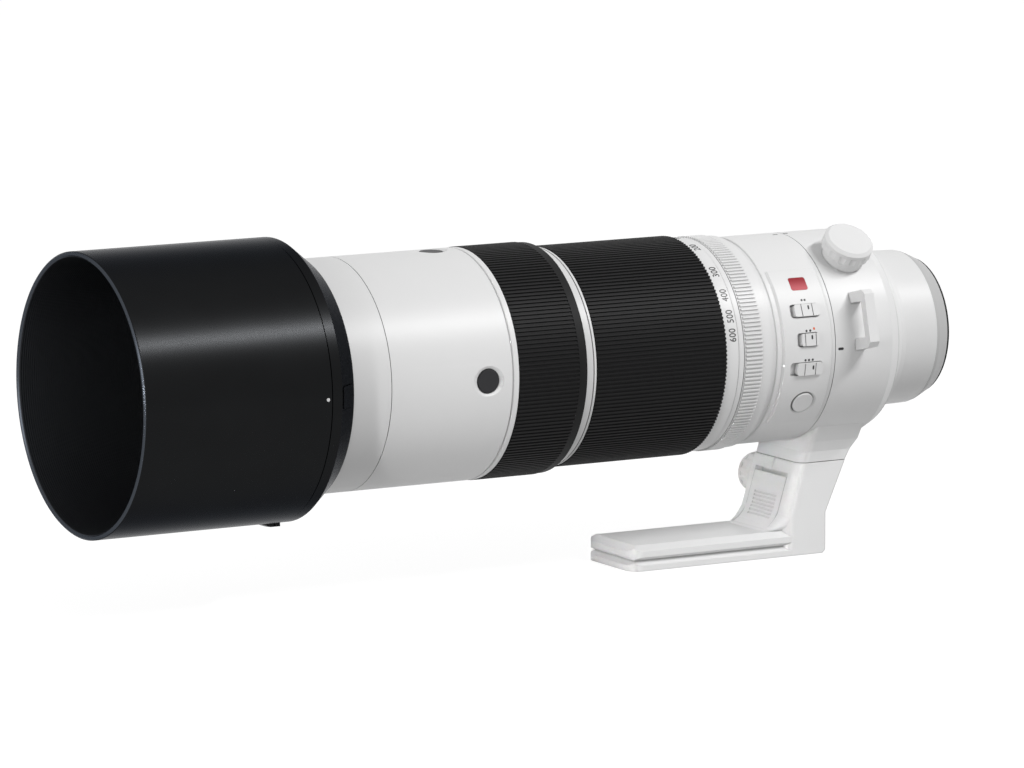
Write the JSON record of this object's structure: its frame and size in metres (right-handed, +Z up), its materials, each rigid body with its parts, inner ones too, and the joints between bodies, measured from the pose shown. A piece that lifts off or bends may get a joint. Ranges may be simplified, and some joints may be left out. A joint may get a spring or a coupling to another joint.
{
  "type": "super telephoto zoom lens",
  "caption": "Long white telephoto zoom lens with a black hood, ribbed rubber rings, a switch panel, a turning collar and a removable tripod foot.",
  "frame": {"origin": "centre of the mount flange face, on the optical axis", "axes": "+X along the optical axis towards the camera body, +Z up away from the tripod foot, -Y towards the side with the switch panel"},
  "size_m": [0.413, 0.1194, 0.1534],
  "materials": {
    "bayonet_steel": "satin",
    "black_alloy": "satin",
    "black_brass": "matte",
    "black_plastic": "satin",
    "black_steel": "satin",
    "glass": "gloss",
    "grey_alloy": "satin",
    "red_plastic": "satin",
    "rubber": "matte",
    "white_alloy": "satin",
    "white_plastic": "satin"
  },
  "bodies": {
    "barrel": {"front_ring": "white_plastic", "front_cell": "black_plastic", "front_glass": "glass", "front_barrel": "white_plastic", "divider_ring": "white_plastic", "index_ring": "white_plastic", "guide_tube": "black_plastic", "iris_housing": "black_alloy", "iris_cover": "black_alloy", "main_barrel": "white_alloy", "switch_panel": "white_plastic", "badge_plate": "red_plastic", "focus_rods": "bayonet_steel", "stabiliser_base": "black_steel", "rear_barrel": "white_alloy", "rear_ring": "grey_alloy", "mount_gasket": "rubber", "bayonet_mount": "bayonet_steel", "mount_screws": "bayonet_steel", "mount_contacts": "black_plastic", "rear_cell": "black_brass", "rear_glass": "glass"},
    "hood": {"hood_shell": "black_plastic"},
    "hood_release_button": {"hood_release_button": "black_plastic"},
    "hood_window": {"hood_window": "black_plastic"},
    "focus_button_top": {"focus_button_top": "black_plastic"},
    "focus_button_near": {"focus_button_near": "black_plastic"},
    "focus_button_bottom": {"focus_button_bottom": "black_plastic"},
    "focus_button_far": {"focus_button_far": "black_plastic"},
    "focus_ring": {"focus_ring_sleeve": "white_plastic", "focus_ring_grip": "rubber"},
    "zoom_ring": {"zoom_ring_sleeve": "white_plastic", "zoom_ring_grip": "rubber", "cam_tube": "black_plastic"},
    "variator": {"variator_cell": "black_plastic", "variator_glass": "glass"},
    "compensator": {"compensator_cell": "black_plastic", "compensator_glass": "glass"},
    "aperture_ring": {"aperture_ring": "white_alloy"},
    "iris_ring": {"iris_ring": "black_alloy"},
    "iris_blade_1": {"iris_blade_1": "black_steel"},
    "iris_blade_2": {"iris_blade_2": "black_steel"},
    "iris_blade_3": {"iris_blade_3": "black_steel"},
    "iris_blade_4": {"iris_blade_4": "black_steel"},
    "iris_blade_5": {"iris_blade_5": "black_steel"},
    "iris_blade_6": {"iris_blade_6": "black_steel"},
    "iris_blade_7": {"iris_blade_7": "black_steel"},
    "range_switch": {"range_switch": "white_plastic"},
    "aperture_switch": {"aperture_switch": "white_plastic"},
    "preset_switch": {"preset_switch": "white_plastic"},
    "set_button": {"set_button": "white_plastic"},
    "focus_group": {"focus_cell": "black_plastic", "focus_glass": "glass"},
    "stabiliser_frame": {"stabiliser_frame": "black_alloy"},
    "stabiliser_cell": {"stabiliser_cell": "black_alloy"},
    "collar": {"collar_ring": "white_alloy"},
    "collar_lock_knob": {"collar_lock_knob": "white_alloy"},
    "tripod_foot": {"tripod_foot": "white_alloy"},
    "foot_clamp_knob": {"foot_clamp_knob": "white_alloy"},
    "foot_release_lever": {"foot_release_lever": "white_alloy"}
  },
  "joints": [
    {"name": "hood_turn", "type": "hinge", "parent": "barrel", "child": "hood", "pos_m": [-0.3119, 0, 0], "axis": [1, 0, 0], "range_deg": [0, 60]},
    {"name": "hood_release_press", "type": "slide", "parent": "hood", "child": "hood_release_button", "axis": [0, 1, 0], "range_m": [0, 0.0008], "stiffness_N_per_m": 400},
    {"name": "hood_window_slide", "type": "slide", "parent": "hood", "child": "hood_window", "axis": [-1, 0, 0], "range_m": [0, 0.011]},
    {"name": "focus_button_top_press", "type": "slide", "parent": "barrel", "child": "focus_button_top", "axis": [0, 0, -1], "range_m": [0, 0.0008], "stiffness_N_per_m": 400},
    {"name": "focus_button_near_press", "type": "slide", "parent": "barrel", "child": "focus_button_near", "axis": [0, 1, 0], "range_m": [0, 0.0008], "stiffness_N_per_m": 400},
    {"name": "focus_button_bottom_press", "type": "slide", "parent": "barrel", "child": "focus_button_bottom", "axis": [0, 0, 1], "range_m": [0, 0.0008], "stiffness_N_per_m": 400},
    {"name": "focus_button_far_press", "type": "slide", "parent": "barrel", "child": "focus_button_far", "axis": [0, -1, 0], "range_m": [0, 0.0008], "stiffness_N_per_m": 400},
    {"name": "focus_ring_turn", "type": "hinge", "parent": "barrel", "child": "focus_ring", "pos_m": [-0.2109, 0, 0], "axis": [1, 0, 0], "continuous": true},
    {"name": "zoom_ring_turn", "type": "hinge", "parent": "barrel", "child": "zoom_ring", "pos_m": [-0.1519, 0, 0], "axis": [-1, 0, 0], "range_deg": [0, 78.6]},
    {"name": "variator_slide", "type": "slide", "parent": "barrel", "child": "variator", "axis": [1, 0, 0], "range_m": [0, 0.044]},
    {"name": "compensator_slide", "type": "slide", "parent": "barrel", "child": "compensator", "axis": [-1, 0, 0], "range_m": [0, 0.024]},
    {"name": "aperture_ring_turn", "type": "hinge", "parent": "barrel", "child": "aperture_ring", "pos_m": [-0.1077, 0, 0], "axis": [1, 0, 0], "continuous": true},
    {"name": "iris_ring_turn", "type": "hinge", "parent": "barrel", "child": "iris_ring", "pos_m": [-0.1109, 0, 0], "axis": [1, 0, 0], "range_deg": [0, 16]},
    {"name": "iris_blade_1_swing", "type": "hinge", "parent": "barrel", "child": "iris_blade_1", "pos_m": [-0.1148, 0, 0.036], "axis": [1, 0, 0], "range_deg": [0, 24]},
    {"name": "iris_blade_2_swing", "type": "hinge", "parent": "barrel", "child": "iris_blade_2", "pos_m": [-0.1148, -0.02815, 0.02245], "axis": [1, 0, 0], "range_deg": [0, 24]},
    {"name": "iris_blade_3_swing", "type": "hinge", "parent": "barrel", "child": "iris_blade_3", "pos_m": [-0.1148, -0.0351, -0.00801], "axis": [1, 0, 0], "range_deg": [0, 24]},
    {"name": "iris_blade_4_swing", "type": "hinge", "parent": "barrel", "child": "iris_blade_4", "pos_m": [-0.1148, -0.01562, -0.03243], "axis": [1, 0, 0], "range_deg": [0, 24]},
    {"name": "iris_blade_5_swing", "type": "hinge", "parent": "barrel", "child": "iris_blade_5", "pos_m": [-0.1148, 0.01562, -0.03243], "axis": [1, 0, 0], "range_deg": [0, 24]},
    {"name": "iris_blade_6_swing", "type": "hinge", "parent": "barrel", "child": "iris_blade_6", "pos_m": [-0.1148, 0.0351, -0.00801], "axis": [1, 0, 0], "range_deg": [0, 24]},
    {"name": "iris_blade_7_swing", "type": "hinge", "parent": "barrel", "child": "iris_blade_7", "pos_m": [-0.1148, 0.02815, 0.02245], "axis": [1, 0, 0], "range_deg": [0, 24]},
    {"name": "range_switch_slide", "type": "slide", "parent": "barrel", "child": "range_switch", "axis": [-1, 0, 0], "range_m": [0, 0.0015]},
    {"name": "aperture_switch_slide", "type": "slide", "parent": "barrel", "child": "aperture_switch", "axis": [-1, 0, 0], "range_m": [0, 0.0015]},
    {"name": "preset_switch_slide", "type": "slide", "parent": "barrel", "child": "preset_switch", "axis": [-1, 0, 0], "range_m": [0, 0.003]},
    {"name": "set_button_press", "type": "slide", "parent": "barrel", "child": "set_button", "axis": [0, 0.8652, 0.5015], "range_m": [0, 0.0008], "stiffness_N_per_m": 400},
    {"name": "focus_group_slide", "type": "slide", "parent": "barrel", "child": "focus_group", "axis": [1, 0, 0], "range_m": [-0.012, 0.012]},
    {"name": "stabiliser_frame_shift", "type": "slide", "parent": "barrel", "child": "stabiliser_frame", "axis": [0, 1, 0], "range_m": [-0.0012, 0.0012], "stiffness_N_per_m": 2000},
    {"name": "stabiliser_cell_shift", "type": "slide", "parent": "stabiliser_frame", "child": "stabiliser_cell", "axis": [0, 0, 1], "range_m": [-0.0012, 0.0012], "stiffness_N_per_m": 2000},
    {"name": "collar_turn", "type": "hinge", "parent": "barrel", "child": "collar", "pos_m": [-0.0515, 0, 0], "axis": [1, 0, 0], "continuous": true},
    {"name": "collar_lock_turn", "type": "hinge", "parent": "collar", "child": "collar_lock_knob", "pos_m": [-0.0533, -0.0302, 0.04233], "axis": [0, -0.5807, 0.8141], "range_deg": [0, 270]},
    {"name": "foot_slide", "type": "slide", "parent": "collar", "child": "tripod_foot", "axis": [-1, 0, 0], "range_m": [0, 0.026]},
    {"name": "foot_clamp_turn", "type": "hinge", "parent": "tripod_foot", "child": "foot_clamp_knob", "pos_m": [-0.0631, 0.02, -0.0641], "axis": [0, 1, 0], "range_deg": [0, 270]},
    {"name": "foot_lever_press", "type": "hinge", "parent": "tripod_foot", "child": "foot_release_lever", "pos_m": [-0.0756, 0, -0.0775], "axis": [0, 1, 0], "range_deg": [0, 4], "stiffness_Nm_per_rad": 0.5}
  ],
  "couplings": [
    {"joint": "variator_slide", "follows": "zoom_ring_turn", "m_per_rad": 0.032074},
    {"joint": "compensator_slide", "follows": "zoom_ring_turn", "m_per_rad": 0.017495},
    {"joint": "iris_blade_1_swing", "follows": "iris_ring_turn", "ratio": 1.5},
    {"joint": "iris_blade_2_swing", "follows": "iris_ring_turn", "ratio": 1.5},
    {"joint": "iris_blade_3_swing", "follows": "iris_ring_turn", "ratio": 1.5},
    {"joint": "iris_blade_4_swing", "follows": "iris_ring_turn", "ratio": 1.5},
    {"joint": "iris_blade_5_swing", "follows": "iris_ring_turn", "ratio": 1.5},
    {"joint": "iris_blade_6_swing", "follows": "iris_ring_turn", "ratio": 1.5},
    {"joint": "iris_blade_7_swing", "follows": "iris_ring_turn", "ratio": 1.5}
  ]
}
